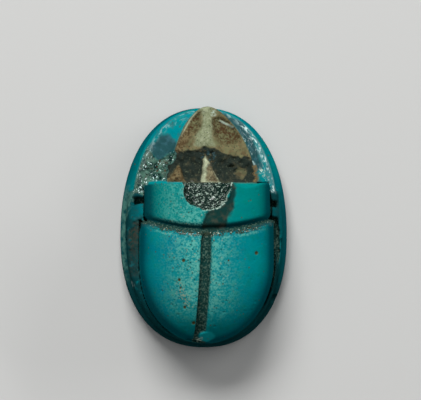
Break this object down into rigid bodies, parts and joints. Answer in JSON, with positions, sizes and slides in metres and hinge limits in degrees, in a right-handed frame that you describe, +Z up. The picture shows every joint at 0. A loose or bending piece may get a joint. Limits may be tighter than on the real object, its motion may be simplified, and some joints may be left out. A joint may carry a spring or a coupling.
{
  "type": "scarab amulet",
  "caption": "Scarab amulet carved in one piece from glazed stone: a beetle with grooved wing cases on a flat oval plate, pierced lengthwise for a string.",
  "frame": {"origin": "middle of the flat oval underside, which the scarab lies on", "axes": "+Z up from the underside through the back, +Y along the length toward the head, +X to the right seen from above with the head pointing away"},
  "size_m": [0.0118, 0.017, 0.0076],
  "materials": {
    "glazed_steatite": "worn turquoise-blue glaze on carved soft stone, bare cream stone at the broken head, dark residue in the grooves"
  },
  "bodies": {
    "root": {"scarab": "glazed_steatite"}
  },
  "joints": []
}
